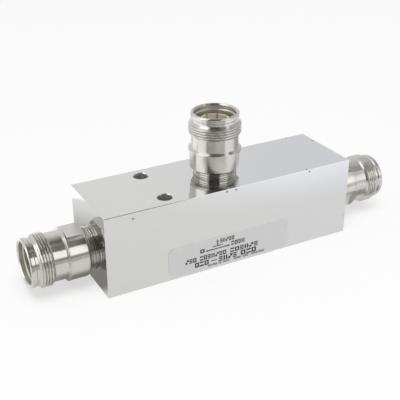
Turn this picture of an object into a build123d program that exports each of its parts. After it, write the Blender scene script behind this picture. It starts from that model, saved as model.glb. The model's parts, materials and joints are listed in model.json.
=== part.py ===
from build123d import *
import math
import os

# Three-port coaxial power tapper: a square metal bar, bored along its length for an air line,
# with a threaded coaxial jack on each end and a third jack on top for the tapped signal.
#
# Millimetres. X runs along the bar from the input jack to the through jack, Z points up
# through the tap jack, and the origin is on the underside below the middle of the bar.

# Bar
BAR_LENGTH = 105.0
BAR_SIDE = 32.0
BAR_EDGE = 0.15
LINE_HEIGHT = 13.4
MAIN_BORE_R = 4.8
TAP_BORE_R = 4.0
PORT_DEPTH = 6.0
PORT_CHAMFER = 0.3

# Two through-holes for the fixing screws, set in from the input end
MOUNT_HOLE_R = 2.75
MOUNT_HOLE_INSET = 26.0
MOUNT_HOLE_CHAMFER = 0.25

# Nicks from handling: along X from the bar's middle, then in from the face's top or back edge
NICK_ROUND = 0.6
NICK_DEPTH = 0.12
FRONT_NICKS = ((-41.6, 2.4), (-3.8, 0.8), (0.1, 0.8), (33.2, 0.8))
TOP_NICKS = ((43.3, 0.7), (51.3, 8.4), (32.4, 31.2))

# Clearances
PRESS_FIT = 0.02
THREAD_FIT = 0.05

# Jack interface, from the centre outwards
SHANK_R = 1.5
CONTACT_STEP = 0.65
SOCKET_WALL = 1.1
CONTACT_BORE_R = 5.0
BASKET_WALL = 0.7
BASKET_FLANGE = 0.45
WELL_GAP = 1.78
MOUTH_STEP = 0.4
BARREL_WALL = 1.55
THREAD_STAND = 0.95
GROOVE_SINK = 0.2
BEAD_STAND = 0.35
SLEEVE_BORE_R = 4.7
SPIGOT_WALL = 1.83
RELIEF_SINK = 0.35
BODY_STEP = 2.02
LIP_STEP = 0.1
FLAT_DEPTH = 1.2

# Jack lengths, from the bar's face outwards
NECK_LENGTH = 3.0
RELIEF_LENGTH = 0.8
BODY_LENGTH = 7.0
LIP_LENGTH = 0.65
SHOULDER_LENGTH = 0.7
BARREL_LENGTH = 4.85
THREAD_LENGTH = 4.4
CONE_LENGTH = 1.2
GROOVE_LENGTH = 0.9
BEAD_LENGTH = 2.2

# Jack depths, from the rim inwards
MOUTH_LENGTH = 1.5
MOUTH_LEAD = 0.45
BASKET_RECESS = 3.1
CONTACT_RECESS = 4.9
WELL_DEPTH = 10.0
SEAT_LENGTH = 6.6
FLANGE_THICK = 1.0
INSULATOR_THICK = 3.0
SHANK_GRIP = 5.0
SOCKET_DEPTH = 6.0

# Rounded and broken edges of the jack
BODY_EDGE = 0.7
LIP_ROUND = 0.15
BEAD_ROUND = 0.6
NOSE_CHAMFER = 0.15
SLEEVE_CHAMFER = 0.2

# Spring slots
BASKET_SLOTS = 8
BASKET_SLOT_WIDTH = 0.5
SLOT_FOOT = 0.9
SOCKET_SLOTS = 4
SOCKET_SLOT_WIDTH = 0.35
SOCKET_SLOT_DEPTH = 4.5

# Seal in the spigot's groove
SEAL_INSET = 1.0
SEAL_GROOVE_DEPTH = 0.9
SEAL_SIDE_GAP = 0.15

# Wrench flats: the way each jack's flats came to face when it was tightened
INPUT_FLAT_TURN = 0.0
THROUGH_FLAT_TURN = -62.0
TAP_FLAT_TURN = -39.0

# Inner conductors: impedances in ohms set each rod's size in the bore around it
FREE_SPACE_FACTOR = 59.96
LINE_OHMS = 50.0
STEP_OHMS = (42.0, 35.0, 42.0)
TAP_OHMS = 65.0
STEP_LENGTH = 17.0
TAP_TIP_R = 1.0
TAP_SEAT_DEPTH = 2.4
SUPPORT_INSET = 4.5
SUPPORT_THICK = 3.0

# Rating label on the front face
LABEL_LENGTH = 52.6
LABEL_HEIGHT = 12.4
LABEL_THICK = 0.1
LABEL_CORNER_R = 2.5
LABEL_BASE = 0.9
LABEL_SHIFT = -2.05

# Sizes that follow
HALF_LENGTH = BAR_LENGTH / 2
HALF_SIDE = BAR_SIDE / 2

CONTACT_R = SHANK_R + CONTACT_STEP
SOCKET_R = CONTACT_R - SOCKET_WALL
BASKET_R = CONTACT_BORE_R + BASKET_WALL
BASKET_SEAT_R = BASKET_R + PRESS_FIT
FLANGE_R = BASKET_R + BASKET_FLANGE
SLEEVE_SEAT_R = FLANGE_R + PRESS_FIT
WELL_R = BASKET_SEAT_R + WELL_GAP
MOUTH_R = WELL_R + MOUTH_STEP
BARREL_R = WELL_R + BARREL_WALL
THREAD_R = BARREL_R + THREAD_STAND
GROOVE_R = BARREL_R - GROOVE_SINK
BEAD_R = GROOVE_R + BEAD_STAND
SPIGOT_R = SLEEVE_SEAT_R + SPIGOT_WALL
BODY_R = SPIGOT_R + BODY_STEP
LIP_R = BODY_R + LIP_STEP
PORT_R = SPIGOT_R + THREAD_FIT

NECK_END = NECK_LENGTH
BODY_END = NECK_END + BODY_LENGTH
LIP_END = BODY_END + LIP_LENGTH
SHOULDER_END = LIP_END + SHOULDER_LENGTH
BARREL_END = SHOULDER_END + BARREL_LENGTH
THREAD_END = BARREL_END + THREAD_LENGTH
CONE_END = THREAD_END + CONE_LENGTH
GROOVE_END = CONE_END + GROOVE_LENGTH
RIM = GROOVE_END + BEAD_LENGTH

WELL_FLOOR = RIM - WELL_DEPTH
CLAMP_FACE = WELL_FLOOR - SEAT_LENGTH
BEAD_REAR = CLAMP_FACE - FLANGE_THICK
BEAD_FRONT = BEAD_REAR + INSULATOR_THICK
BASKET_FRONT = RIM - BASKET_RECESS
CONTACT_FRONT = RIM - CONTACT_RECESS

MOUNT_HOLE_Y = (MAIN_BORE_R + HALF_SIDE) / 2
MOUNT_HOLE_X = MOUNT_HOLE_INSET - HALF_LENGTH
SUPPORT_X = HALF_LENGTH - PORT_DEPTH - SUPPORT_INSET

SEAL_GROOVE_R = SPIGOT_R - SEAL_GROOVE_DEPTH
SEAL_SECTION_R = (PORT_R - SEAL_GROOVE_R) / 2 - PRESS_FIT
SEAL_RING_R = (PORT_R + SEAL_GROOVE_R) / 2
SEAL_GROOVE_WIDTH = 2 * (SEAL_SECTION_R + SEAL_SIDE_GAP)
SEAL_GROOVE_START = SEAL_INSET - PORT_DEPTH


def rod_radius(bore_radius, ohms):
    """Radius of the rod that gives an air line of this impedance inside a round bore."""
    return bore_radius / math.exp(ohms / FREE_SPACE_FACTOR)


def turned(corners):
    """Solid of revolution about Z from corners (radius, height) or (radius, height, round)."""
    face = make_face(Polyline(*[corner[:2] for corner in corners], close=True))
    for corner in corners:
        if len(corner) == 3:
            nearest = face.vertices().sort_by_distance((corner[0], corner[1], 0))[0]
            face = fillet(nearest, corner[2])
    return Rot(90, 0, 0) * revolve(face, Axis.Y)


def rod(radius, low, high):
    """Plain round rod along Z between two heights."""
    return Pos(0, 0, (low + high) / 2) * Cylinder(radius, high - low)


def ring(outer, inner, low, high):
    """Plain tube along Z between two heights."""
    return rod(outer, low, high) - rod(inner, low, high)


def spring_slots(count, width, reach, low, high):
    """Slots cut from the axis out to a radius, evenly spaced about Z."""
    blade = Pos(reach / 2, 0, (low + high) / 2) * Box(reach, width, high - low)
    return [Rot(0, 0, index * 360 / count) * blade for index in range(count)]


def jack_shell():
    """Turned and plated outer body of a jack, with two wrench flats."""
    thread_rear = BARREL_END + THREAD_STAND
    rim_inner = MOUTH_R + MOUTH_LEAD
    mouth_end = RIM - MOUTH_LEAD - MOUTH_LENGTH
    shell = turned([
        (SLEEVE_SEAT_R, -PORT_DEPTH),
        (SPIGOT_R - SLEEVE_CHAMFER, -PORT_DEPTH),
        (SPIGOT_R, SLEEVE_CHAMFER - PORT_DEPTH),
        (SPIGOT_R, SEAL_GROOVE_START),
        (SEAL_GROOVE_R, SEAL_GROOVE_START),
        (SEAL_GROOVE_R, SEAL_GROOVE_START + SEAL_GROOVE_WIDTH),
        (SPIGOT_R, SEAL_GROOVE_START + SEAL_GROOVE_WIDTH),
        (SPIGOT_R, NECK_END - RELIEF_LENGTH),
        (SPIGOT_R - RELIEF_SINK, NECK_END - RELIEF_LENGTH + RELIEF_SINK),
        (SPIGOT_R - RELIEF_SINK, NECK_END),
        (BODY_R - BODY_EDGE, NECK_END),
        (BODY_R, NECK_END + BODY_EDGE, BODY_EDGE / 2),
        (BODY_R, BODY_END),
        (LIP_R, BODY_END + LIP_STEP),
        (LIP_R, LIP_END, LIP_ROUND),
        (BARREL_R, SHOULDER_END),
        (BARREL_R, BARREL_END),
        (THREAD_R, thread_rear),
        (THREAD_R, THREAD_END),
        (GROOVE_R, CONE_END),
        (GROOVE_R, GROOVE_END),
        (BEAD_R, GROOVE_END + BEAD_STAND, BEAD_STAND / 2),
        (BEAD_R, RIM, BEAD_ROUND),
        (rim_inner, RIM),
        (MOUTH_R, RIM - MOUTH_LEAD),
        (MOUTH_R, mouth_end),
        (WELL_R, mouth_end - MOUTH_STEP),
        (WELL_R, WELL_FLOOR),
        (BASKET_SEAT_R, WELL_FLOOR),
        (BASKET_SEAT_R, CLAMP_FACE),
        (SLEEVE_SEAT_R, CLAMP_FACE),
    ])
    flat_centre = NECK_END + BODY_LENGTH / 2
    for side in (1, -1):
        cutter = Box(2 * LIP_R, 4 * LIP_R, BODY_LENGTH)
        shell -= Pos(side * (BODY_R - FLAT_DEPTH + LIP_R), 0, flat_centre) * cutter
    return shell


def outer_contact():
    """Slotted spring basket that grips the plug's outer conductor."""
    basket = ring(BASKET_R, CONTACT_BORE_R, BEAD_REAR, BASKET_FRONT)
    basket += ring(FLANGE_R, CONTACT_BORE_R, BEAD_REAR, CLAMP_FACE)
    for slot in spring_slots(BASKET_SLOTS, BASKET_SLOT_WIDTH, FLANGE_R, WELL_FLOOR + SLOT_FOOT, RIM):
        basket -= slot
    return basket


def insulator_bead():
    """Plastic bead that holds the centre contact on the axis."""
    return ring(CONTACT_BORE_R - PRESS_FIT, SHANK_R + PRESS_FIT, BEAD_REAR, BEAD_FRONT)


def centre_contact():
    """Slotted socket on a shank that passes through the bead into the inner conductor."""
    contact = turned([
        (0, BEAD_REAR - SHANK_GRIP),
        (SHANK_R - NOSE_CHAMFER, BEAD_REAR - SHANK_GRIP),
        (SHANK_R, BEAD_REAR - SHANK_GRIP + NOSE_CHAMFER),
        (SHANK_R, BEAD_FRONT),
        (CONTACT_R, BEAD_FRONT),
        (CONTACT_R, CONTACT_FRONT - NOSE_CHAMFER),
        (CONTACT_R - NOSE_CHAMFER, CONTACT_FRONT),
        (SOCKET_R + NOSE_CHAMFER, CONTACT_FRONT),
        (SOCKET_R, CONTACT_FRONT - NOSE_CHAMFER),
        (SOCKET_R, CONTACT_FRONT - SOCKET_DEPTH),
        (0, CONTACT_FRONT - SOCKET_DEPTH - SOCKET_R / 2),
    ])
    slot_base = CONTACT_FRONT - SOCKET_SLOT_DEPTH
    for slot in spring_slots(SOCKET_SLOTS, SOCKET_SLOT_WIDTH, BASKET_R, slot_base, RIM):
        contact -= slot
    return contact


def rear_sleeve():
    """Pressed-in sleeve that clamps the basket's flange and carries the air line inwards."""
    return ring(SLEEVE_SEAT_R - PRESS_FIT, SLEEVE_BORE_R, -PORT_DEPTH, BEAD_REAR)


def port_seal():
    """O-ring in the spigot's groove."""
    return Pos(0, 0, SEAL_GROOVE_START + SEAL_GROOVE_WIDTH / 2) * Torus(SEAL_RING_R, SEAL_SECTION_R)


JACK_PIECES = {
    "jack_shell": jack_shell,
    "outer_contact": outer_contact,
    "insulator_bead": insulator_bead,
    "centre_contact": centre_contact,
    "rear_sleeve": rear_sleeve,
    "port_seal": port_seal,
}

# Where each jack sits on the bar, its own +Z pointing out of its port
JACK_PLACES = {
    "input": Pos(-HALF_LENGTH, 0, LINE_HEIGHT) * Rot(0, -90, 0) * Rot(0, 0, INPUT_FLAT_TURN),
    "through": Pos(HALF_LENGTH, 0, LINE_HEIGHT) * Rot(0, 90, 0) * Rot(0, 0, THROUGH_FLAT_TURN),
    "tap": Pos(0, 0, BAR_SIDE) * Rot(0, 0, TAP_FLAT_TURN),
}


def body_block():
    """Square bar with the air-line bores, three threaded ports, two fixing holes and small nicks."""
    bar = Pos(0, 0, HALF_SIDE) * Box(BAR_LENGTH, BAR_SIDE, BAR_SIDE)
    bar = chamfer(bar.edges(), BAR_EDGE)
    bar -= Pos(0, 0, LINE_HEIGHT) * Rot(0, 90, 0) * Cylinder(MAIN_BORE_R, BAR_LENGTH)
    bar -= rod(TAP_BORE_R, LINE_HEIGHT, BAR_SIDE)
    port = turned([
        (0, -PORT_DEPTH),
        (PORT_R, -PORT_DEPTH),
        (PORT_R, -PORT_CHAMFER),
        (PORT_R + PORT_CHAMFER, 0),
        (0, 0),
    ])
    for place in JACK_PLACES.values():
        bar -= place * port
    hole = turned([
        (0, 0),
        (MOUNT_HOLE_R + MOUNT_HOLE_CHAMFER, 0),
        (MOUNT_HOLE_R, MOUNT_HOLE_CHAMFER),
        (MOUNT_HOLE_R, BAR_SIDE - MOUNT_HOLE_CHAMFER),
        (MOUNT_HOLE_R + MOUNT_HOLE_CHAMFER, BAR_SIDE),
        (0, BAR_SIDE),
    ])
    for side in (1, -1):
        bar -= Pos(MOUNT_HOLE_X, side * MOUNT_HOLE_Y, 0) * hole
    dent = Sphere(NICK_ROUND)
    stand = NICK_ROUND - NICK_DEPTH
    for x, drop in FRONT_NICKS:
        bar -= Pos(x, -HALF_SIDE - stand, BAR_SIDE - drop) * dent
    for x, inset in TOP_NICKS:
        bar -= Pos(x, HALF_SIDE - inset, BAR_SIDE + stand) * dent
    return bar


def contact_socket(rod_solid, end):
    """Bore in a conductor's end, up to the bead's rear face, for the centre contact's shank."""
    return rod_solid - rod(SHANK_R + PRESS_FIT, end - SHANK_GRIP - PRESS_FIT, end)


def main_line_conductor():
    """Stepped rod from the input jack's bead to the through jack's bead."""
    end = HALF_LENGTH + BEAD_REAR
    port_floor = HALF_LENGTH - PORT_DEPTH
    line = rod(rod_radius(MAIN_BORE_R, LINE_OHMS), -port_floor, port_floor)
    line += rod(rod_radius(SLEEVE_BORE_R, LINE_OHMS), -end, end)
    steps_start = -STEP_LENGTH * len(STEP_OHMS) / 2
    for index, ohms in enumerate(STEP_OHMS):
        low = steps_start + index * STEP_LENGTH
        line += rod(rod_radius(MAIN_BORE_R, ohms), low, low + STEP_LENGTH)
    line = contact_socket(line, end)
    line = Rot(180, 0, 0) * contact_socket(Rot(180, 0, 0) * line, end)
    line = Pos(0, 0, LINE_HEIGHT) * Rot(0, 90, 0) * line
    return line - rod(TAP_TIP_R + PRESS_FIT, TAP_TIP_END - PRESS_FIT, BAR_SIDE)


def tap_conductor():
    """Thin rod from a cross hole in the main line up to the tap jack's bead."""
    port_floor = BAR_SIDE - PORT_DEPTH
    end = BAR_SIDE + BEAD_REAR
    line = rod(TAP_TIP_R, TAP_TIP_END, TAP_SHOULDER)
    line += rod(rod_radius(TAP_BORE_R, TAP_OHMS), TAP_SHOULDER, port_floor)
    line += rod(rod_radius(SLEEVE_BORE_R, LINE_OHMS), port_floor, end)
    return contact_socket(line, end)


def line_support(x):
    """Plastic disc that centres the main line conductor in its bore."""
    hole_r = rod_radius(MAIN_BORE_R, LINE_OHMS) + PRESS_FIT
    disc = ring(MAIN_BORE_R - PRESS_FIT, hole_r, -SUPPORT_THICK / 2, SUPPORT_THICK / 2)
    return Pos(x, 0, LINE_HEIGHT) * Rot(0, 90, 0) * disc


def rating_label():
    """Thin film with rounded corners on the front face."""
    outline = RectangleRounded(LABEL_LENGTH, LABEL_HEIGHT, LABEL_CORNER_R)
    film = extrude(outline, LABEL_THICK)
    return Pos(LABEL_SHIFT, -HALF_SIDE, LABEL_BASE + LABEL_HEIGHT / 2) * Rot(90, 0, 0) * film


# The tap conductor's shoulder stands on the middle step of the main line
TAP_SHOULDER = LINE_HEIGHT + rod_radius(MAIN_BORE_R, STEP_OHMS[len(STEP_OHMS) // 2])
TAP_TIP_END = TAP_SHOULDER - TAP_SEAT_DEPTH

pieces = {
    "body_block": body_block(),
    "main_line_conductor": main_line_conductor(),
    "tap_conductor": tap_conductor(),
    "input_line_support": line_support(-SUPPORT_X),
    "through_line_support": line_support(SUPPORT_X),
    "rating_label": rating_label(),
}
for piece_name, build_piece in JACK_PIECES.items():
    piece = build_piece()
    for port_name, place in JACK_PLACES.items():
        pieces[f"{port_name}_{piece_name}"] = place * piece

os.makedirs("parts", exist_ok=True)
for node, solid in pieces.items():
    export_step(solid, f"parts/{node}.step")
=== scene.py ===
import json
import logging
import math
from collections.abc import Callable, Iterable, Sequence
from dataclasses import dataclass
from enum import Enum

import bpy
import numpy as np
from bpy.types import ID, Material, Node, NodeSocket, NodeTree, Object
from mathutils import Matrix, Vector


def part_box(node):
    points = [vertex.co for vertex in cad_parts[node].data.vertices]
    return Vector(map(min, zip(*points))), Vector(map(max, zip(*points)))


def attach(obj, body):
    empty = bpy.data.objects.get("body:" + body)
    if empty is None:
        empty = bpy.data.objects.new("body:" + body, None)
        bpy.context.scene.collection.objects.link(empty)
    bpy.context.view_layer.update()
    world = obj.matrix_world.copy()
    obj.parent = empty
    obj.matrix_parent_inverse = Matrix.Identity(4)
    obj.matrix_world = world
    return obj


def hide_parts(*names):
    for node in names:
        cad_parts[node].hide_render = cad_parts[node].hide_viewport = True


# Looks of a three-port coaxial power tapper: a milled aluminium bar with a turned and plated
# threaded jack on each end and one on top. Sizes are millimetres and become metres in the meshes.
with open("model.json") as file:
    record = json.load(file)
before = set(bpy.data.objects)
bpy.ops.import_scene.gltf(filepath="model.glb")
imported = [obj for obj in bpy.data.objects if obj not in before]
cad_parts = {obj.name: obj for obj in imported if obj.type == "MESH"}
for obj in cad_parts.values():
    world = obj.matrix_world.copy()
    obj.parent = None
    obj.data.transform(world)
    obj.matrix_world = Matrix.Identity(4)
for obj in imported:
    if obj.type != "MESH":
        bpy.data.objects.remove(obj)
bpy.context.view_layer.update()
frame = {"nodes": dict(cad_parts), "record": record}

log = logging.getLogger("tapper")

MM = 0.001
BODY = "root"

# Numbers of the colour sockets on a Mix node that works on colours
MIX_A, MIX_B, MIX_RESULT = 6, 7, 2

Triple = tuple[float, float, float]
Colour = tuple[float, float, float, float]
Outline = list[tuple[float, float]]
Points = Iterable[Sequence[float]]
Faces = Iterable[Sequence[int]]


class Axis(Enum):
    """Direction that a turned piece was turned about."""

    X = "X"
    Z = "Z"


class Port(Enum):
    """The way a port's jack points, where its angles start, and its flats' angle, degrees."""

    INPUT = ((-1.0, 0.0, 0.0), (0.0, 0.0, 1.0), 0.0)
    THROUGH = ((1.0, 0.0, 0.0), (0.0, 0.0, -1.0), -62.0)
    TAP = ((0.0, 0.0, 1.0), (1.0, 0.0, 0.0), -39.0)

    @property
    def word(self) -> str:
        """The port's word in the names of its pieces."""
        return self.name.lower()


def linear(hex_colour: str, strength: float = 1.0) -> Colour:
    """Turn an sRGB hex colour to the linear values that shaders take.

    Args:
        hex_colour: Colour such as "#C8C8C9".
        strength: Factor on the three linear values, above 1 for a bright light.

    Returns:
        Red, green, blue and an alpha of 1.
    """
    parts = [int(hex_colour[i:i + 2], 16) / 255 for i in (1, 3, 5)]
    values = [p / 12.92 if p <= 0.04045 else ((p + 0.055) / 1.055) ** 2.4 for p in parts]
    return (values[0] * strength, values[1] * strength, values[2] * strength, 1.0)


def feed(tree: NodeTree, node: Node, feeds: dict) -> None:
    """Give a node's inputs their values and links.

    Args:
        tree: Node tree that holds the node.
        node: The node.
        feeds: What goes into each input, by its name or number: a socket, a node for its first
            output, or a value.
    """
    for key, value in feeds.items():
        if isinstance(value, Node):
            value = value.outputs[0]
        if isinstance(value, NodeSocket):
            tree.links.new(value, node.inputs[key])
        else:
            node.inputs[key].default_value = value


def add_node(tree: NodeTree, kind: str, settings: dict | None = None,
             feeds: dict | None = None) -> Node:
    """Add one node with its settings and links.

    Args:
        tree: Node tree that gets the node.
        kind: Blender's name for the node's type, after its ShaderNode.
        settings: Attributes to set, by name.
        feeds: What goes into each input, as in feed.

    Returns:
        The new node.
    """
    node = tree.nodes.new(f"ShaderNode{kind}")
    for name, value in (settings or {}).items():
        setattr(node, name, value)
    feed(tree, node, feeds or {})
    return node


def seen_directly(tree: NodeTree) -> NodeSocket:
    """Tell the rays that show a surface from those that light it.

    Args:
        tree: Node tree that gets the nodes.

    Returns:
        1 for a surface seen directly, mirrored or through glass, and 0 for the other rays.
    """
    path = add_node(tree, "LightPath")
    mirrored = add_node(tree, "Math", {"operation": "ADD"}, {
        0: path.outputs["Is Camera Ray"], 1: path.outputs["Is Glossy Ray"]})
    return add_node(tree, "Math", {"operation": "ADD", "use_clamp": True}, {
        0: mirrored, 1: path.outputs["Is Transmission Ray"]}).outputs[0]


class Finish:
    """A finish that makes one procedural material and hands out the same one each time."""

    made: dict[str, Material] = {}
    name: str

    def material(self) -> Material:
        """Make this finish's material, or find the one that was made before.

        Returns:
            The material.
        """
        if self.name not in Finish.made:
            material = bpy.data.materials.new(self.name)
            material.use_nodes = True
            tree = material.node_tree
            self.shade(tree, tree.nodes["Principled BSDF"])
            Finish.made[self.name] = material
        return Finish.made[self.name]

    def shade(self, tree: NodeTree, surface: Node) -> None:
        """Set the surface shader's sockets and add the patterns behind them.

        Args:
            tree: The material's node tree.
            surface: Its Principled shader.
        """
        raise NotImplementedError

    def swap(self, tree: NodeTree, surface: Node, shader: Node) -> None:
        """Put another shader in the surface shader's place.

        Args:
            tree: The material's node tree.
            surface: Its Principled shader, which goes.
            shader: The shader that comes instead.
        """
        feed(tree, tree.nodes["Material Output"], {"Surface": shader})
        tree.nodes.remove(surface)

    def noise(self, tree: NodeTree, grain: float, detail: float = 2.0,
              stretch: Sequence[float] = (1.0, 1.0, 1.0)) -> NodeSocket:
        """Add a noise pattern in real size.

        Args:
            tree: The material's node tree.
            grain: Size of one blotch, mm.
            detail: Octaves of finer noise.
            stretch: Factor on the blotch's length along X, Y and Z.

        Returns:
            The pattern's value, from 0 to 1.
        """
        place = add_node(tree, "Mapping", feeds={
            "Vector": add_node(tree, "TexCoord").outputs["Object"],
            "Scale": [1 / factor for factor in stretch]})
        pattern = add_node(tree, "TexNoise", feeds={
            "Vector": place, "Scale": 1 / (grain * MM), "Detail": detail})
        return pattern.outputs[0]


@dataclass(frozen=True)
class MilledAluminium(Finish):
    """Aluminium, fly-cut to a bright face: a near mirror with slow waves, matt in drilled holes.

    Its nicks are painted darker, as painted shade.
    """

    name: str = "milled_aluminium"
    cool: str = "#D7D8DA"
    warm: str = "#CFCEC9"
    roughness: tuple[float, float] = (0.05, 0.1)

    # Waves of the milled face, mm
    wave_length: float = 22.0
    wave_depth: float = 0.012
    wave_stretch: Triple = (1.6, 1.0, 0.7)

    # Cool and warm cast: its patches' length, mm, and their share of it, and the painted light's
    # share at
    # the origin with its rise for each metre towards the through jack and up. The rise is painted
    # light:
    # it paints the face lighter and cooler towards the through jack and up, and darker and warmer
    # low down at the left, where the face mirrors shade.
    cast_length: float = 30.0
    cast_stretch: Triple = (2.5, 1.0, 0.6)
    patch_share: float = 0.35
    cool_share: float = 0.35
    cool_slope: Triple = (6.0, 0.0, 12.0)

    # Walls of the drilled holes, with the distance outside their radius that still counts, mm
    drilled_roughness: float = 0.36
    drilled_metallic: float = 0.75
    hole_allowance: float = 0.03

    # Painted shade in the nicks: its colour, how far it is full and how far it goes, and the nicks'
    # places, mm
    dirt: str = "#77766F"
    dirt_reach: tuple[float, float] = (0.25, 0.5)
    nicks: tuple[Triple, ...] = (
        (-41.6, -16, 29.6), (-3.8, -16, 31.2), (0.1, -16, 31.2), (33.2, -16, 31.2),
        (43.3, 15.3, 32), (51.3, 7.6, 32), (32.4, -15.2, 32),
    )

    def shade(self, tree: NodeTree, surface: Node) -> None:
        """Set a polished metal with waves that bend what it mirrors, with painted light and painted
        shade.

        Args:
            tree: The material's node tree.
            surface: Its Principled shader.
        """
        place = add_node(tree, "TexCoord").outputs["Object"]
        cast = self.noise(tree, self.cast_length, stretch=self.cast_stretch)
        # Painted light: the face is painted lighter and cooler towards the through jack and up
        slope = add_node(tree, "VectorMath", {"operation": "DOT_PRODUCT"}, {
            0: place, 1: self.cool_slope})
        along = add_node(tree, "Math", {"operation": "ADD", "use_clamp": True}, {
            0: slope.outputs["Value"], 1: self.cool_share})
        patchy = add_node(tree, "Mix", {"data_type": "FLOAT"}, {
            0: self.patch_share, 2: along, 3: cast})
        toned = add_node(tree, "Mix", {"data_type": "RGBA"}, {
            0: patchy, MIX_A: linear(self.warm), MIX_B: linear(self.cool)})
        # Painted shade: the nicks are painted darker
        soiled = add_node(tree, "Mix", {"data_type": "RGBA"}, {
            0: self.soiled(tree, place), MIX_A: toned.outputs[MIX_RESULT],
            MIX_B: linear(self.dirt)})
        low, high = self.roughness
        milled = add_node(tree, "MapRange", feeds={"Value": cast, "To Min": low, "To Max": high})
        drilled = self.drilled(tree, place)
        gloss = add_node(tree, "Mix", {"data_type": "FLOAT"}, {
            0: drilled, 2: milled, 3: self.drilled_roughness})
        metal = add_node(tree, "MapRange", feeds={
            "Value": drilled, "To Min": 1.0, "To Max": self.drilled_metallic})
        wave = self.noise(tree, self.wave_length, 1.0, self.wave_stretch)
        waved = add_node(tree, "Bump", feeds={"Height": wave, "Distance": self.wave_depth * MM})
        feed(tree, surface, {
            "Base Color": soiled.outputs[MIX_RESULT], "Metallic": metal,
            "Roughness": gloss, "Normal": waved})

    def soiled(self, tree: NodeTree, place: NodeSocket) -> NodeSocket:
        """Mark the nicks, which are painted darker as painted shade.

        Args:
            tree: The material's node tree.
            place: The shaded point's place, metres.

        Returns:
            1 in a nick and 0 elsewhere.
        """
        nearest: NodeSocket | float = 1.0
        for nick in self.nicks:
            away = add_node(tree, "VectorMath", {"operation": "DISTANCE"}, {
                0: place, 1: tuple(c * MM for c in nick)})
            nearest = add_node(tree, "Math", {"operation": "MINIMUM"}, {
                0: nearest, 1: away.outputs["Value"]}).outputs[0]
        full, end = self.dirt_reach
        return add_node(tree, "MapRange", feeds={
            "Value": nearest, "From Min": end * MM, "From Max": full * MM}).outputs[0]

    def drilled(self, tree: NodeTree, place: NodeSocket) -> NodeSocket:
        """Mark the walls of the drilled holes, which the record's mounts place.

        Args:
            tree: The material's node tree.
            place: The shaded point's place, metres.

        Returns:
            1 on a drilled wall and 0 elsewhere.
        """
        holes = next(m for m in frame["record"]["mounts"] if m["kind"] == "bolt_pattern")
        middle_x, middle_y, _ = holes["pos_m"]
        half_spacing = holes["dims"]["spacing_y_mm"] * MM / 2
        reach = (holes["dims"]["hole_r_mm"] + self.hole_allowance) * MM
        x, y, _ = add_node(tree, "SeparateXYZ", feeds={0: place}).outputs
        side = add_node(tree, "Math", {"operation": "ABSOLUTE"}, {0: y})
        flat = add_node(tree, "CombineXYZ", feeds={0: x, 1: side})
        away = add_node(tree, "VectorMath", {"operation": "DISTANCE"}, {
            0: flat, 1: (middle_x, middle_y + half_spacing, 0)})
        return add_node(tree, "Math", {"operation": "LESS_THAN"}, {
            0: away.outputs["Value"], 1: reach}).outputs[0]


@dataclass(frozen=True)
class Mottled(Finish):
    """A surface of one gloss, whose two near tones run into each other in blotches."""

    tones: tuple[str, str]
    blotch: float
    roughness: float
    metallic: float = 0.0
    detail: float = 2.0

    def shade(self, tree: NodeTree, surface: Node) -> None:
        """Set the gloss and blend the two tones.

        Args:
            tree: The material's node tree.
            surface: Its Principled shader.
        """
        blotches = self.noise(tree, self.blotch, self.detail)
        first, second = self.tones
        tone = add_node(tree, "Mix", {"data_type": "RGBA"}, {
            0: blotches, MIX_A: linear(first), MIX_B: linear(second)})
        feed(tree, surface, {
            "Base Color": tone.outputs[MIX_RESULT], "Metallic": self.metallic,
            "Roughness": self.roughness, **self.extras(tree, blotches)})

    def extras(self, tree: NodeTree, blotches: NodeSocket) -> dict:
        """Return what else goes into the surface shader, by socket."""
        return {}


@dataclass(frozen=True)
class TurnedPlating(Mottled):
    """White bronze on turned brass: tool marks run round it, so lights smear along its axis."""

    stem: str = "turned_white_bronze"
    axis: Axis = Axis.Z
    tones: tuple[str, str] = ("#CDCCC9", "#C5C3BC")
    blotch: float = 3.0
    roughness: float = 0.2
    metallic: float = 1.0
    anisotropic: float = 0.85
    quarter_turn: float = 0.25

    @property
    def name(self) -> str:
        """Material name, one for each turning axis."""
        return f"{self.stem}_{self.axis.value.lower()}"

    def extras(self, tree: NodeTree, blotches: NodeSocket) -> dict:
        """Return the sockets that keep the gloss sharp round the axis and blur it along."""
        tangent = add_node(tree, "Tangent", {"direction_type": "RADIAL", "axis": self.axis.value})
        return {"Anisotropic": self.anisotropic, "Anisotropic Rotation": self.quarter_turn,
                "Tangent": tangent}


@dataclass(frozen=True)
class BoredPlating(TurnedPlating):
    """White bronze in a bored mouth, where it goes on thin: the same marks under a duller gloss."""

    stem: str = "bored_white_bronze"
    roughness: float = 0.42
    metallic: float = 0.8
    anisotropic: float = 0.5


@dataclass(frozen=True)
class SilverPlating(TurnedPlating):
    """Silver plate on turned spring brass: a pale warm white, nearly matt."""

    stem: str = "turned_silver_plate"
    tones: tuple[str, str] = ("#F3EEDA", "#EAE3C8")
    roughness: float = 0.4
    metallic: float = 0.45
    anisotropic: float = 0.3


@dataclass(frozen=True)
class MachinedBrass(Mottled):
    """Brass rod, turned and left bare: warm yellow with a soft gloss and dull patches."""

    name: str = "machined_brass"
    tones: tuple[str, str] = ("#E6CF97", "#D2B679")
    blotch: float = 4.0
    roughness: float = 0.25
    metallic: float = 1.0
    detail: float = 3.0


@dataclass(frozen=True)
class MachinedFluoropolymer(Mottled):
    """PTFE, turned from rod: a milky, waxy white that lets a little light in."""

    name: str = "machined_ptfe"
    tones: tuple[str, str] = ("#EDEBE4", "#E3E0D6")
    blotch: float = 1.5
    roughness: float = 0.45
    ior: float = 1.35
    scatter_weight: float = 0.3
    scatter_depth: float = 0.4

    def extras(self, tree: NodeTree, blotches: NodeSocket) -> dict:
        """Return the sockets that let light in."""
        return {"IOR": self.ior, "Subsurface Weight": self.scatter_weight,
                "Subsurface Scale": self.scatter_depth * MM}


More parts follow.
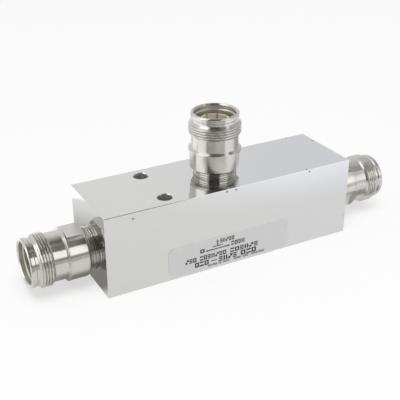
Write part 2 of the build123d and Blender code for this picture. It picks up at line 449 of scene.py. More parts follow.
@dataclass(frozen=True)
class MouldedRubber(Mottled):
    """Nitrile rubber, moulded: near black and matt, with a fine bloom and a faint grain."""

    name: str = "moulded_nitrile"
    tones: tuple[str, str] = ("#232323", "#303030")
    blotch: float = 0.6
    roughness: float = 0.6
    detail: float = 3.0
    grain_depth: float = 0.01

    def extras(self, tree: NodeTree, blotches: NodeSocket) -> dict:
        """Return the socket that raises the bloom a little."""
        grain = add_node(tree, "Bump", feeds={
            "Height": blotches, "Distance": self.grain_depth * MM})
        return {"Normal": grain}


@dataclass(frozen=True)
class SatinFilm(Mottled):
    """Polyester film with a metallised back, satin coated: a shade duller than the bar under it."""

    name: str = "satin_polyester_film"
    tones: tuple[str, str] = ("#D5D5D4", "#D1D1D2")
    blotch: float = 5.0
    roughness: float = 0.36
    metallic: float = 0.9


@dataclass(frozen=True)
class PrintedInk(Mottled):
    """Screen-print ink: near black and matt, with slightly uneven cover."""

    name: str = "screen_print_ink"
    tones: tuple[str, str] = ("#202021", "#303032")
    blotch: float = 0.5
    roughness: float = 0.5


@dataclass(frozen=True)
class PaleFloor(Finish):
    """Matt white paper sweep: what sees it directly or in a mirror gets a lift towards white."""

    name: str = "matt_white_paper"
    white: str = "#B4B4B4"
    lift: float = 0.575

    def shade(self, tree: NodeTree, surface: Node) -> None:
        """Set a diffuse white plus a glow for the rays that show it.

        Args:
            tree: The material's node tree.
            surface: Its Principled shader.
        """
        paper = add_node(tree, "BsdfDiffuse", feeds={"Color": linear(self.white)})
        level = add_node(tree, "Math", {"operation": "MULTIPLY"}, {
            0: seen_directly(tree), 1: self.lift})
        glow = add_node(tree, "Emission", feeds={"Strength": level})
        self.swap(tree, surface, add_node(tree, "AddShader", feeds={0: paper, 1: glow}))


@dataclass(frozen=True)
class LitCard(Finish):
    """A glowing card of one level, seen in mirrors alone: painted light above the floor's level,
    painted shade below it.
    """

    level: float
    tint: str = "#FFFFFF"

    @property
    def name(self) -> str:
        """Material name, one for each level."""
        return f"lit_card_{round(self.level * 100)}"

    def shade(self, tree: NodeTree, surface: Node) -> None:
        """Set a plain glow."""
        self.swap(tree, surface, add_node(tree, "Emission", feeds={
            "Color": linear(self.tint), "Strength": self.level}))


@dataclass(frozen=True)
class PaperPatch(Finish):
    """The sweep's paper where it gets less light or more: a patch of its own level, faded out."""

    stem: str
    level: float
    # Where the patch begins, is full, is still full and ends, along X and along Y, mm
    along_x: tuple[float, float, float, float]
    along_y: tuple[float, float, float, float]
    tint: str = "#FFFCF6"

    @property
    def name(self) -> str:
        """Material name, one for each patch."""
        return f"paper_patch_{self.stem}"

    def shade(self, tree: NodeTree, surface: Node) -> None:
        """Set a glow that turns clear towards the patch's edges.

        Args:
            tree: The material's node tree.
            surface: Its Principled shader.
        """
        place = add_node(tree, "TexCoord").outputs["Object"]
        x, y, _ = add_node(tree, "SeparateXYZ", feeds={0: place}).outputs
        cover: NodeSocket | float = 1.0
        for way, (begin, full, still, end) in ((x, self.along_x), (y, self.along_y)):
            for clear, dense in ((begin, full), (end, still)):
                fade = add_node(tree, "MapRange", {"interpolation_type": "SMOOTHSTEP"}, {
                    "Value": way, "From Min": clear * MM, "From Max": dense * MM})
                cover = add_node(tree, "Math", {"operation": "MULTIPLY"}, {
                    0: cover, 1: fade}).outputs[0]
        glow = add_node(tree, "Emission", feeds={
            "Color": linear(self.tint), "Strength": self.level})
        nothing = add_node(tree, "BsdfTransparent")
        self.swap(tree, surface, add_node(tree, "MixShader", feeds={0: cover, 1: nothing, 2: glow}))


def dress(node: str, finish: Finish) -> None:
    """Give a CAD node a finish in all its material slots.

    Args:
        node: Name of the CAD node.
        finish: The finish that it gets.
    """
    piece = frame["nodes"][node]
    if not piece.material_slots:
        piece.data.materials.append(finish.material())
    for slot in piece.material_slots:
        slot.material = finish.material()
    log.info("dressed %s in %s", node, finish.name)


def add_object(name: str, data: ID) -> Object:
    """Put a mesh, a light or a camera into the scene.

    Args:
        name: The object's name.
        data: What it holds.

    Returns:
        The new object.
    """
    added = bpy.data.objects.new(name, data)
    bpy.context.scene.collection.objects.link(added)
    return added


def add_mesh(name: str, points: Points, faces: Faces, finish: Finish) -> Object:
    """Make a mesh in one finish and put it into the scene.

    Args:
        name: The mesh's name.
        points: Corners in the row frame, mm.
        faces: Corner numbers of each face.
        finish: The finish that it gets.

    Returns:
        The new object.
    """
    mesh = bpy.data.meshes.new(name)
    mesh.from_pydata([tuple(c * MM for c in point) for point in points], [], list(faces))
    mesh.materials.append(finish.material())
    return add_object(name, mesh)


def add_piece(name: str, points: Points, faces: Faces, finish: Finish, crease: float) -> Object:
    """Make a mesh piece that rides on the part's body.

    Args:
        name: The piece's name.
        points: Corners in the row frame, mm.
        faces: Corner numbers of each face.
        finish: The finish that it gets.
        crease: Angle between faces above which an edge looks sharp, degrees.

    Returns:
        The new piece.
    """
    piece = add_mesh(name, points, faces, finish)
    piece.data.shade_smooth()
    piece.data.set_sharp_from_angle(angle=math.radians(crease))
    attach(piece, BODY)
    log.info("made %s with %d faces", name, len(piece.data.polygons))
    return piece


def grid_faces(rings: int, columns: int) -> list[tuple[int, int, int, int]]:
    """List the faces of rings joined one to the next, and the last to the first.

    Args:
        rings: Number of rings.
        columns: Points in each ring.

    Returns:
        Corner numbers of each face.
    """
    faces = []
    for ring in range(rings):
        here, there = ring * columns, (ring + 1) % rings * columns
        for column in range(columns):
            beside = (column + 1) % columns
            faces.append((here + column, here + beside, there + beside, there + column))
    return faces


@dataclass(frozen=True)
class Thread:
    """A 60 degree right-hand thread cut into a cylinder, with its sizes in mm."""

    crest: float
    pitch: float
    depth: float
    start: float
    end: float
    phase: float = 0.0
    flank_slope: float = 1 / math.tan(math.radians(30))

    def radius(self, turns: np.ndarray, height: float) -> np.ndarray:
        """Give the thread's radius at each angle of one ring.

        Args:
            turns: Angles about the axis, radians.
            height: The ring's height, mm.

        Returns:
            Radius at each angle, mm, without a limit beyond the thread's ends.
        """
        if not self.start <= height <= self.end:
            return np.full_like(turns, np.inf)
        along = (height - self.phase) / self.pitch - turns / (2 * math.pi)
        from_groove = np.abs(along - np.round(along)) * self.pitch
        return self.crest - np.clip(self.depth - from_groove * self.flank_slope, 0, self.depth)


@dataclass(frozen=True)
class Place:
    """Where a jack sits: its port's centre on the bar's face, and the directions of its frame."""

    centre: Vector
    out: Vector
    zero: Vector
    flat_turn: float

    @property
    def axis(self) -> Axis:
        """The axis that the jack was turned about."""
        return Axis.Z if self.out.z else Axis.X

    def to_row(self, points: np.ndarray) -> np.ndarray:
        """Move points from the jack's own frame to the row frame.

        Args:
            points: One row of x, y and height for each point, mm.

        Returns:
            The same points in the row frame, mm.
        """
        basis = np.array([self.zero, self.out.cross(self.zero), self.out])
        return points @ basis + np.array(self.centre)


@dataclass
class JackShell:
    """Turned and plated outer body of one jack, with its threads and wrench flats."""

    port: str
    place: Place

    # Radii from the axis, and the flats' distance from it
    sleeve_seat: float = 6.17
    neck: float = 8.0
    seal_groove: float = 7.1
    wrench_body: float = 10.02
    lip: float = 10.12
    barrel: float = 9.05
    thread_crest: float = 10.0
    groove: float = 8.85
    rim_bead: float = 9.2
    mouth: float = 7.9
    well: float = 7.5
    basket_seat: float = 5.72
    flat_apothem: float = 8.82

    # Heights above the bar's face, and lengths along the axis
    spigot_foot: float = -6.0
    seal_low: float = -5.0
    seal_high: float = -3.79
    neck_end: float = 3.0
    body_end: float = 10.0
    lip_end: float = 10.65
    shoulder_end: float = 11.35
    barrel_end: float = 16.2
    thread_end: float = 20.6
    cone_end: float = 21.8
    groove_end: float = 22.7
    rim: float = 24.9
    mouth_lead: float = 0.45
    mouth_length: float = 1.5
    well_floor: float = 14.9
    clamp_face: float = 8.3

    # Relief between the neck's thread and the wrench body
    relief_length: float = 0.8
    relief_sink: float = 0.35

    # Rounded and broken edges
    spigot_chamfer: float = 0.2
    body_edge: float = 0.7
    body_round: float = 0.35
    lip_round: float = 0.15
    small_round: float = 0.17
    bead_round: float = 0.6
    wall_round: float = 0.12
    flat_wall_rise: float = 0.02

    # Threads: the coupling thread, and the fine one that screws into the bar
    coupling_pitch: float = 1.0
    coupling_depth: float = 0.6
    mount_pitch: float = 1.0
    mount_depth: float = 0.5
    mount_low: float = -3.4
    mount_high: float = 2.1

    # Mesh density, the decimals that tell two columns' angles apart, and the least cosine that a
    # flat's distance is divided by
    segments: int = 192
    turn_digits: int = 4
    round_steps: int = 5
    thread_step: float = 0.0625
    crease: float = 32.0
    least_cosine: float = 1e-6

    def corners(self) -> list[tuple[float, ...]]:
        """List the section's corners, from the spigot's foot up the outside and down the inside.

        Returns:
            (radius, height) for a sharp corner and (radius, height, round) for a rounded one.
        """
        relief_start = self.neck_end - self.relief_length
        relief = self.neck - self.relief_sink
        mouth_end = self.rim - self.mouth_lead - self.mouth_length
        return [
            (self.sleeve_seat, self.spigot_foot),
            (self.neck - self.spigot_chamfer, self.spigot_foot),
            (self.neck, self.spigot_foot + self.spigot_chamfer),
            (self.neck, self.seal_low),
            (self.seal_groove, self.seal_low),
            (self.seal_groove, self.seal_high),
            (self.neck, self.seal_high),
            (self.neck, relief_start),
            (relief, relief_start + self.relief_sink),
            (relief, self.neck_end, self.wall_round),
            (self.wrench_body - self.body_edge, self.neck_end),
            (self.wrench_body, self.neck_end + self.body_edge, self.body_round),
            (self.wrench_body, self.body_end),
            (self.wrench_body, self.body_end + self.flat_wall_rise),
            (self.lip, self.body_end + self.lip - self.wrench_body),
            (self.lip, self.lip_end, self.lip_round),
            (self.barrel, self.shoulder_end, self.wall_round),
            (self.barrel, self.barrel_end),
            (self.thread_crest, self.barrel_end + self.thread_crest - self.barrel),
            (self.thread_crest, self.thread_end),
            (self.groove, self.cone_end, self.wall_round),
            (self.groove, self.groove_end, self.wall_round),
            (self.rim_bead, self.groove_end + self.rim_bead - self.groove, self.small_round),
            (self.rim_bead, self.rim, self.bead_round),
            (self.mouth + self.mouth_lead, self.rim, self.wall_round),
            (self.mouth, self.rim - self.mouth_lead, self.wall_round),
            (self.mouth, mouth_end),
            (self.well, mouth_end - self.mouth + self.well),
            (self.well, self.well_floor),
            (self.basket_seat, self.well_floor),
            (self.basket_seat, self.clamp_face),
            (self.sleeve_seat, self.clamp_face),
        ]

    def rounded(self) -> Outline:
        """Draw the section's rounded corners as arcs.

        Returns:
            The section's outline.
        """
        corners = self.corners()
        outline: Outline = []
        for index, corner in enumerate(corners):
            point = np.array(corner[:2])
            if len(corner) == 2:
                outline.append(tuple(point))
                continue
            before = np.array(corners[index - 1][:2]) - point
            after = np.array(corners[(index + 1) % len(corners)][:2]) - point
            before /= np.linalg.norm(before)
            after /= np.linalg.norm(after)
            half_turn = math.acos(np.clip(before @ after, -1, 1)) / 2
            reach = corner[2] / math.tan(half_turn)
            inward = (before + after) / np.linalg.norm(before + after)
            centre = point + inward * corner[2] / math.sin(half_turn)
            start, end = point + before * reach - centre, point + after * reach - centre
            for step in range(self.round_steps + 1):
                share = step / self.round_steps
                along = start * (1 - share) + end * share
                outline.append(tuple(centre + along / np.linalg.norm(along) * corner[2]))
        return outline

    def threads(self) -> tuple[Thread, Thread]:
        """Return the coupling thread and the mounting thread."""
        return (
            Thread(self.thread_crest, self.coupling_pitch, self.coupling_depth, self.barrel_end,
                   self.cone_end, self.barrel_end),
            Thread(self.neck, self.mount_pitch, self.mount_depth, self.mount_low, self.mount_high),
        )

    def stations(self) -> Outline:
        """Add close stations to the outline where a thread is cut.

        Returns:
            Radius and height of each ring of the mesh.
        """
        outline = self.rounded()
        threads = self.threads()
        stations: Outline = []
        for (radius, height), (next_radius, next_height) in zip(outline, outline[1:] + outline[:1]):
            stations.append((radius, height))
            rise = next_height - height
            outside = min(radius, next_radius) > self.seal_groove and rise > self.thread_step
            if not (outside and any(t.start < next_height and t.end > height for t in threads)):
                continue
            count = math.ceil(rise / self.thread_step)
            for step in range(1, count):
                share = step / count
                stations.append((radius + (next_radius - radius) * share, height + rise * share))
        return stations

    def turns(self) -> np.ndarray:
        """Spread the mesh's columns evenly, with one more on each edge of the flats.

        Returns:
            Angle of each column, radians.
        """
        even = np.arange(self.segments) * 360 / self.segments
        reach = math.degrees(math.acos(self.flat_apothem / self.wrench_body))
        edges = [self.place.flat_turn + middle + side
                 for middle in (0, 180) for side in (-reach, reach)]
        every = np.concatenate([even, np.mod(edges, 360)])
        return np.radians(np.unique(np.round(every, self.turn_digits)))

    def ring(self, radius: float, height: float, turns: np.ndarray, outside: bool) -> np.ndarray:
        """Work out one ring of points, with the threads and flats cut into the outside.

        Args:
            radius: The section's radius, mm.
            height: The section's height, mm.
            turns: Angle of each column, radians.
            outside: Whether the ring is on the shell's outside.

        Returns:
            One row of x, y and height for each point, mm.
        """
        radii = np.full_like(turns, radius)
        if outside and radius > self.seal_groove:
            coupling, mounting = self.threads()
            thread = coupling if height > self.lip_end else mounting
            radii = np.minimum(radii, thread.radius(turns, height))
        if outside and self.neck_end <= height <= self.body_end:
            across = np.abs(np.cos(turns - math.radians(self.place.flat_turn)))
            radii = np.minimum(radii, self.flat_apothem / np.maximum(across, self.least_cosine))
        return np.stack([radii * np.cos(turns), radii * np.sin(turns),
                         np.full_like(turns, height)], 1)

    def build(self) -> None:
        """Build the shell, dull its bored inside, and put it in the CAD shell's place."""
        turns, stations = self.turns(), self.stations()
        front = [index for index, (_, height) in enumerate(stations)
                 if height >= self.rim - self.mouth_lead]
        inside = next(index for index in front if stations[index][0] < self.rim_bead)
        points = np.concatenate([self.ring(radius, height, turns, index < inside)
                                 for index, (radius, height) in enumerate(stations)])
        shell = add_piece(f"{self.port}_turned_shell", self.place.to_row(points),
                          grid_faces(len(stations), len(turns)),
                          TurnedPlating(axis=self.place.axis), self.crease)
        shell.data.materials.append(BoredPlating(axis=self.place.axis).material())
        for face in shell.data.polygons[front[-1] * len(turns):]:
            face.material_index = 1
        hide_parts(f"{self.port}_jack_shell")


@dataclass
class Jack:
    """One coaxial jack: its turned shell, and its inner pieces as the CAD has them."""

    port: Port
    spigot_depth: float = 6.0

    def place(self) -> Place:
        """Work out the jack's place from its CAD shell.

        Returns:
            The jack's frame.
        """
        out, zero, flat_turn = self.port.value
        low, high = (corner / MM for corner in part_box(f"{self.port.word}_jack_shell"))
        foot = (low + high) / 2
        for index, way in enumerate(out):
            if way:
                foot[index] = (low if way > 0 else high)[index] + way * self.spigot_depth
        return Place(foot, Vector(out), Vector(zero), flat_turn)

    def build(self) -> None:
        """Build the shell and dress the jack's inner pieces."""
        place = self.place()
        JackShell(self.port.word, place).build()
        inner = {
            "outer_contact": SilverPlating(axis=place.axis),
            "centre_contact": SilverPlating(axis=place.axis),
            "insulator_bead": MachinedFluoropolymer(),
            "rear_sleeve": MachinedBrass(),
            "port_seal": MouldedRubber(),
        }
        for piece, finish in inner.items():
            dress(f"{self.port.word}_{piece}", finish)


@dataclass
class Bar:
    """The bored bar and the air line inside it, as the CAD has them."""

    conductors: tuple[str, ...] = ("main_line_conductor", "tap_conductor")
    supports: tuple[str, ...] = ("input_line_support", "through_line_support")

    def build(self) -> None:
        """Dress the bar, its rods and their supports."""
        dress("body_block", MilledAluminium())
        for node in self.conductors:
            dress(node, MachinedBrass())
        for node in self.supports:
            dress(node, MachinedFluoropolymer())


def block(left: float, foot: float, width: float, height: float) -> Outline:
    """Return a rectangle's four corners.

    Args:
        left: Its left end, mm.
        foot: Its foot, mm.
        width: Size along the bar, mm.
        height: Size up the bar, mm.

    Returns:
        The corners in order round it.
    """
    right, top = left + width, foot + height
    return [(left, foot), (right, foot), (right, top), (left, top)]


class Motif(Enum):
    """Plain printed shapes, each as blocks (left, foot, width, height) of a cell of 1 by 1."""

    BARS = ((0.0, 0.0, 0.9, 0.24), (0.0, 0.38, 0.9, 0.24), (0.0, 0.76, 0.9, 0.24))
    FRAME = ((0.0, 0.0, 0.92, 0.25), (0.0, 0.75, 0.92, 0.25),
             (0.0, 0.25, 0.3, 0.5), (0.62, 0.25, 0.3, 0.5))
    POSTS = ((0.0, 0.0, 0.33, 1.0), (0.55, 0.0, 0.33, 1.0))
    SQUARES = ((0.0, 0.0, 0.5, 0.5), (0.45, 0.5, 0.5, 0.5))
    RAILS = ((0.0, 0.0, 0.92, 0.32), (0.0, 0.68, 0.92, 0.32))


# Order in which the shapes follow each other along a row
MOTIF_ORDER = (Motif.FRAME, Motif.BARS, Motif.POSTS, Motif.SQUARES, Motif.BARS, Motif.FRAME,
               Motif.RAILS)


@dataclass(frozen=True)
class Group:
    """A printed group of plain shapes: its two ends, its foot and height, mm, and their number."""

    left: float
    right: float
    foot: float
    height: float
    count: int
    # Share of its cell's width that a shape takes beside another
    fill: float = 0.92

    def shapes(self, first: int) -> list[Outline]:
        """Lay the group's shapes out between its two ends.

        Args:
            first: Place of the group's first shape in the order of shapes.

        Returns:
            The shapes' blocks.
        """
        pitch = (self.right - self.left) / self.count
        width = pitch * self.fill if self.count > 1 else pitch
        blocks = []
        for index in range(self.count):
            left = self.left + index * pitch
            for x, z, wide, high in MOTIF_ORDER[(first + index) % len(MOTIF_ORDER)].value:
                blocks.append(block(left + x * width, self.foot + z * self.height, wide * width,
                                    high * self.height))
        return blocks


@dataclass
class RatingLabel:
    """Film with rounded corners, printed with a plain line diagram and rows of plain shapes."""

    node: str = "rating_label"
    thickness: float = 0.08
    ink_thickness: float = 0.015
    corner: float = 2.5
    corner_steps: int = 10
    crease: float = 40.0

    # Line diagram, from the label's lower left corner: two lines by their ends and their height,
    # and the upright branch by its ends and its place along the label
    main_line: Triple = (15.5, 26.2, 7.53)
    side_line: Triple = (18.55, 22.85, 8.65)
    branch: Triple = (8.9, 11.4, 20.72)
    main_stroke: float = 0.42
    fine_stroke: float = 0.35
    branch_stroke: float = 0.5
    arrow_length: float = 0.9
    arrow_height: float = 0.95

    # Groups of shapes: beside the diagram, then two bold rows, then a small row
    groups: tuple[Group, ...] = (
        Group(13.25, 15.25, 7.2, 1.65, 1), Group(21.75, 28.15, 9.6, 1.65, 5),
        Group(26.6, 32.85, 7.2, 1.75, 4),
        Group(6.95, 11.85, 4.1, 1.85, 3), Group(13.05, 24.75, 4.1, 1.85, 7),
        Group(26.25, 39.05, 4.1, 1.85, 6),
        Group(10.95, 17.15, 1.6, 2.05, 3), Group(21.25, 29.55, 1.6, 2.05, 4),
        Group(31.05, 38.35, 1.6, 2.05, 3),
        Group(16.55, 20.55, 0.55, 0.82, 5), Group(21.15, 22.45, 0.55, 0.82, 2),
        Group(23.15, 25.85, 0.55, 0.82, 4), Group(28.05, 31.15, 0.55, 0.82, 4),
        Group(31.85, 34.55, 0.55, 0.82, 4), Group(35.55, 41.85, 0.55, 0.82, 8),
    )
    dash: tuple[float, float, float, float] = (17.95, 2.5, 2.6, 0.36)

    def outline(self, width: float, height: float) -> Outline:
        """Draw the film with rounded corners, its lower left corner at the origin.

        Args:
            width: Size along the bar, mm.
            height: Size up the bar, mm.

        Returns:
            Points in order round the outline.
        """
        points = []
        for quarter, (x, z) in enumerate([(width, 0), (width, height), (0, height), (0, 0)]):
            centre_x = x - self.corner if x else self.corner
            centre_z = z - self.corner if z else self.corner
            for step in range(self.corner_steps + 1):
                turn = math.radians(-90 + 90 * quarter + 90 * step / self.corner_steps)
                points.append((centre_x + self.corner * math.cos(turn),
                               centre_z + self.corner * math.sin(turn)))
        return points

    def diagram(self) -> list[Outline]:
        """Draw the line diagram.

        Returns:
            Its lines and arrowheads.
        """
        reach, rise = self.arrow_length, self.arrow_height / 2
        left, right, middle = self.main_line
        half = self.main_stroke / 2
        shapes = [block(left + reach, middle - half, right - left - 2 * reach, 2 * half),
                  [(left, middle), (left + reach, middle - rise), (left + reach, middle + rise)],
                  [(right, middle), (right - reach, middle + rise), (right - reach, middle - rise)]]
        left, right, middle = self.side_line
        half = self.fine_stroke / 2
        shapes.append(block(left, middle - half, right - left, 2 * half))
        foot, top, middle = self.branch
        half = self.branch_stroke / 2
        shapes.append(block(middle - half, foot, 2 * half, top - foot - reach))
        shapes.append([(middle - rise, top - reach), (middle + rise, top - reach), (middle, top)])
        return shapes

    def shapes(self) -> list[Outline]:
        """List every printed shape, measured from the label's lower left corner.

        Returns:
            The shapes' outlines.
        """
        shapes = self.diagram() + [block(*self.dash)]
        first = 0
        for group in self.groups:
            shapes += group.shapes(first)
            first += group.count
        return shapes

    def slab(self, name: str, shapes: list[Outline], low: Vector, back: float, front: float,
             finish: Finish) -> Object:
        """Build flat shapes of one thickness on the bar's front face.

        Args:
            name: The piece's name.
            shapes: Outlines from the label's lower left corner, each in order round it.
            low: The label's lowest corner, mm.
            back: Y of the shapes' back, mm.
            front: Y of the shapes' front, mm.
            finish: The finish that they get.

        Returns:
            The new piece.
        """
        points, faces = [], []
        for shape in shapes:
            count, first = len(shape), len(points)
            points += [(low.x + x, y, low.z + z) for y in (back, front) for x, z in shape]
            faces.append(tuple(first + i for i in range(count)))
            faces.append(tuple(first + i for i in reversed(range(count, 2 * count))))
            for i in range(count):
                here, beside = first + i, first + (i + 1) % count
                faces.append((here, here + count, beside + count, beside))
        return add_piece(name, points, faces, finish, self.crease)

    def build(self) -> None:
        """Build the film and its print in the CAD label's place."""
        low, high = (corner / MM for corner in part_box(self.node))
        front = high.y - self.thickness
        edge = self.outline(high.x - low.x, high.z - low.z)
        film = self.slab("label_film", [edge], low, high.y, front, SatinFilm())
        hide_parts(self.node)
        ink_front = front - self.ink_thickness
        self.slab("label_print", self.shapes(), low, front, ink_front, PrintedInk())


@dataclass(frozen=True)
class Panel:
    """One soft-edged area of the studio round the object, by direction: a softbox or a dark flag.

    Its angles are degrees. Azimuth 0 is in front of the object, towards -Y, and 90 is towards +X.
    """

    azimuth: float
    elevation: float
    half_width: float
    half_height: float
    edge: float
    radiance: float
    tint: str = "#FFFFFF"


@dataclass(frozen=True)
class FloorCard:
    """A glowing card on the floor, for mirrors alone: a sector about the top jack's axis, by
    azimuth, with the level of its painted light or painted shade.
    """

    start: float
    end: float
    level: float
    tint: str = "#FFFFFF"


@dataclass
class Studio:
    """Plain pale floor, soft light, and the camera at the photograph's place."""

    floor_half: float = 3000.0
    lamp_place: Triple = (-400.0, -1000.0, 2800.0)
    lamp_size: float = 1850.0
    lamp_power: float = 52.0

    # Levels all round: what lights the object, what the camera sees, and what mirrors see
    diffuse_level: float = 0.4
    backdrop: float = 0.985
    tent: float = 0.93

    # Camera, fitted to the bar's six visible corners and the jacks' rings
    position: Triple = (-137.632, -242.540, 159.288)
    forward: Triple = (0.42557, 0.78677, -0.44709)
    roll: float = -0.237
    focal_pixels: float = 795.916
    frame_pixels: float = 400.0
    sensor: float = 36.0
    nearest: float = 10.0

    # What the metal mirrors of the tent, from the dark overhead to the softboxes and flags at the
    # sides. A panel covers those before it.
    panels: tuple[Panel, ...] = (
        Panel(0, 90, 181, 32, 36, 0.25, "#FFFBF4"),
        Panel(8, 67, 92, 23, 2, 0.22, "#FFF8EE"),
        Panel(-145, 63, 20, 12, 4, 1.6),
        Panel(74, 62.5, 15, 5.5, 2, 1.5),
        Panel(0, 90, 181, 14, 4, 0.06, "#FFF8EE"),
        Panel(92, 22, 45, 26, 4, 0.65),
        Panel(134, 22, 15, 10, 10, 0.885, "#FCFCFF"),
        Panel(164, 25, 10, 10, 8, 0.98),
        Panel(23, 28.5, 24, 15.5, 2, 1.7),
        Panel(13, 5, 15, 8, 2, 0.38),
        Panel(51, 48, 8.5, 6.5, 2, 1.35),
        Panel(-31.5, 40, 30.5, 70, 2, 0.1, "#FFF8EE"),
        Panel(-96, 35, 23, 41, 2, 1.9),
    )

    # Cards on the floor off camera, which the top jack's turned faces mirror: painted light where
    # the floor is brighter and painted shade where it is darker
    card_near: float = 96.0
    card_far: float = 400.0
    card_height: float = 0.5
    card_steps: int = 12
    cards: tuple[FloorCard, ...] = (
        FloorCard(-152, -91, 1.43),
        FloorCard(-91, -68, 1.0),
        FloorCard(-68, -25, 0.43, "#FFF8EE"),
        FloorCard(-25, 18, 0.6, "#FDFDF4"),
    )

    # Patches of the floor, for mirrors alone: two that the jacks shade, and a lighter one in front
    patch_height: float = 0.3
    patches: tuple[PaperPatch, ...] = (
        PaperPatch("input", 0.28, (-80, -59, -52.5, -52), (-16, -7, 20, 70)),
        PaperPatch("through", 0.36, (58, 64, 74, 92), (-30, -23, -14, -7)),
        PaperPatch("front", 1.2, (-15, 75, 260, 300), (-300, -260, -75, -44), "#FBFCFF"),
    )

    def lay(self, name: str, points: Points, faces: Faces, finish: Finish) -> None:
        """Lay a flat piece on the floor that shows in mirrors alone.

        Args:
            name: The piece's name.
            points: Its corners, mm.
            faces: Corner numbers of each face.
            finish: The finish that it gets.
        """
        piece = add_mesh(name, points, faces, finish)
        piece.visible_camera = piece.visible_diffuse = piece.visible_shadow = False

    def floor(self) -> None:
        """Lay the floor under the object, with its cards and patches."""
        half, one_face = self.floor_half, [(0, 1, 2, 3)]
        corners = [(x, y, 0.0) for x, y in block(-half, -half, 2 * half, 2 * half)]
        add_mesh("floor", corners, one_face, PaleFloor())
        for index, card in enumerate(self.cards):
            self.card(f"floor_card_{index}", card)
        for patch in self.patches:
            (left, _, _, right), (near, _, _, far) = patch.along_x, patch.along_y
            corners = [(x, y, self.patch_height)
                       for x, y in block(left, near, right - left, far - near)]
            self.lay(patch.name, corners, one_face, patch)

    def card(self, name: str, card: FloorCard) -> None:
        """Lay one card down.

        Args:
            name: The card's name.
            card: Its two ends, its level and its tint.
        """
        start, end = math.radians(card.start), math.radians(card.end)
        steps = self.card_steps
        points = []
        for reach in (self.card_near, self.card_far):
            for step in range(steps + 1):
                turn = start + (end - start) * step / steps
                points.append((reach * math.sin(turn), -reach * math.cos(turn), self.card_height))
        faces = [(i, i + 1, i + steps + 2, i + steps + 1) for i in range(steps)]
        self.lay(name, points, faces, LitCard(card.level, card.tint))

    def lamp(self) -> None:
        """Stand one large soft lamp in front, high to the left, so that shadows fall behind."""
        data = bpy.data.lights.new("front_softbox", "AREA")
        data.size = self.lamp_size * MM
        data.energy = self.lamp_power
        lamp = add_object("front_softbox", data)
        place = Vector(self.lamp_place)
        lamp.location = place * MM
        lamp.rotation_euler = place.to_track_quat("Z", "Y").to_euler()
        lamp.visible_glossy = False

    def mask(self, tree: NodeTree, angle: NodeSocket, middle: float, half: float,
             edge: float) -> NodeSocket:
        """Mark the directions within an angle of a middle one.

        Args:
            tree: The world's node tree.
            angle: The direction's azimuth or elevation, degrees.
            middle: Middle of the marked range, degrees.
            half: Half of the marked range, degrees.
            edge: Width of its soft edge, degrees.

        Returns:
            1 inside the range and 0 outside.
        """
        away = add_node(tree, "Math", {"operation": "SUBTRACT"}, {0: angle, 1: middle})
        wrapped = add_node(tree, "Math", {"operation": "WRAP"}, {0: away, 1: 180.0, 2: -180.0})
        apart = add_node(tree, "Math", {"operation": "ABSOLUTE"}, {0: wrapped})
        return add_node(tree, "MapRange", {"interpolation_type": "SMOOTHSTEP"}, {
            "Value": apart, "From Min": half - edge / 2, "From Max": half + edge / 2,
            "To Min": 1.0, "To Max": 0.0}).outputs[0]

    def world(self) -> None:
        """Surround the object with a pale tent, its softboxes and its flags."""
        world = bpy.data.worlds.new("studio")
        world.use_nodes = True
        bpy.context.scene.world = world
        tree = world.node_tree
        ray = add_node(tree, "TexCoord").outputs["Generated"]
        x, y, z = add_node(tree, "SeparateXYZ", feeds={0: ray}).outputs
        ahead = add_node(tree, "Math", {"operation": "MULTIPLY"}, {0: y, 1: -1.0})
        turn = add_node(tree, "Math", {"operation": "ARCTAN2"}, {0: x, 1: ahead})
        rise = add_node(tree, "Math", {"operation": "ARCSINE"}, {0: z})
        azimuth, elevation = (add_node(tree, "Math", {"operation": "DEGREES"}, {
            0: angle}).outputs[0] for angle in (turn, rise))
        colour: NodeSocket | Colour = linear("#FFFFFF", self.tent)
        for panel in self.panels:
            wide = self.mask(tree, azimuth, panel.azimuth, panel.half_width, panel.edge)
            tall = self.mask(tree, elevation, panel.elevation, panel.half_height, panel.edge)
            both = add_node(tree, "Math", {"operation": "MULTIPLY"}, {0: wide, 1: tall})
            colour = add_node(tree, "Mix", {"data_type": "RGBA"}, {
                0: both, MIX_A: colour,
                MIX_B: linear(panel.tint, panel.radiance)}).outputs[MIX_RESULT]
        direct = add_node(tree, "Mix", {"data_type": "RGBA"}, {
            0: add_node(tree, "LightPath").outputs["Is Camera Ray"],
            MIX_A: colour, MIX_B: linear("#FFFFFF", self.backdrop)})
        shown = add_node(tree, "Mix", {"data_type": "RGBA"}, {
            0: seen_directly(tree), MIX_A: linear("#FFFFFF", self.diffuse_level),
            MIX_B: direct.outputs[MIX_RESULT]})
        feed(tree, tree.nodes["Background"], {"Color": shown.outputs[MIX_RESULT]})

    def camera(self) -> None:
        """Set the camera up at the photograph's place."""
        data = bpy.data.cameras.new("photo_camera")
        data.sensor_width = self.sensor
        data.lens = self.focal_pixels / self.frame_pixels * self.sensor
        data.clip_start = self.nearest * MM
        camera = add_object("photo_camera", data)
        forward = Vector(self.forward).normalized()
        right = forward.cross(Vector((0, 0, 1))).normalized()
        up = right.cross(forward)
        turn = math.radians(self.roll)
        right, up = (right * math.cos(turn) + up * math.sin(turn),
                     up * math.cos(turn) - right * math.sin(turn))
        basis = Matrix((right, up, -forward)).transposed().to_4x4()
        camera.matrix_world = Matrix.Translation(Vector(self.position) * MM) @ basis
        bpy.context.scene.camera = camera

    def build(self) -> None:
        """Build the floor, the lights and the camera."""
        self.floor()
        self.lamp()
        self.world()
        self.camera()
        bpy.context.scene.view_settings.view_transform = "Standard"


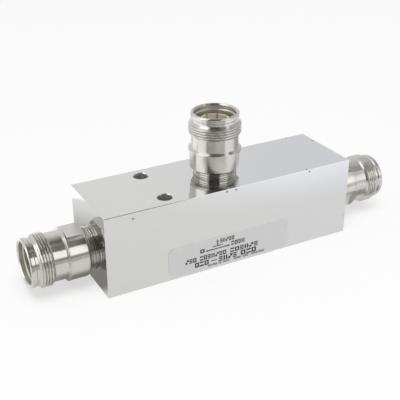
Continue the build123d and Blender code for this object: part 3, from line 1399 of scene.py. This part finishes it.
def main() -> None:
    """Build every part of the object and the studio round it."""
    logging.basicConfig(level=logging.INFO, format="%(name)s: %(message)s")
    steps: list[tuple[str, Callable[[], None]]] = [
        ("studio", Studio().build), ("bar", Bar().build), ("label", RatingLabel().build)]
    steps += [(f"{port.word} jack", Jack(port).build) for port in Port]
    for name, step in steps:
        step()
        log.info("built the %s", name)


if __name__ == "__main__":
    main()
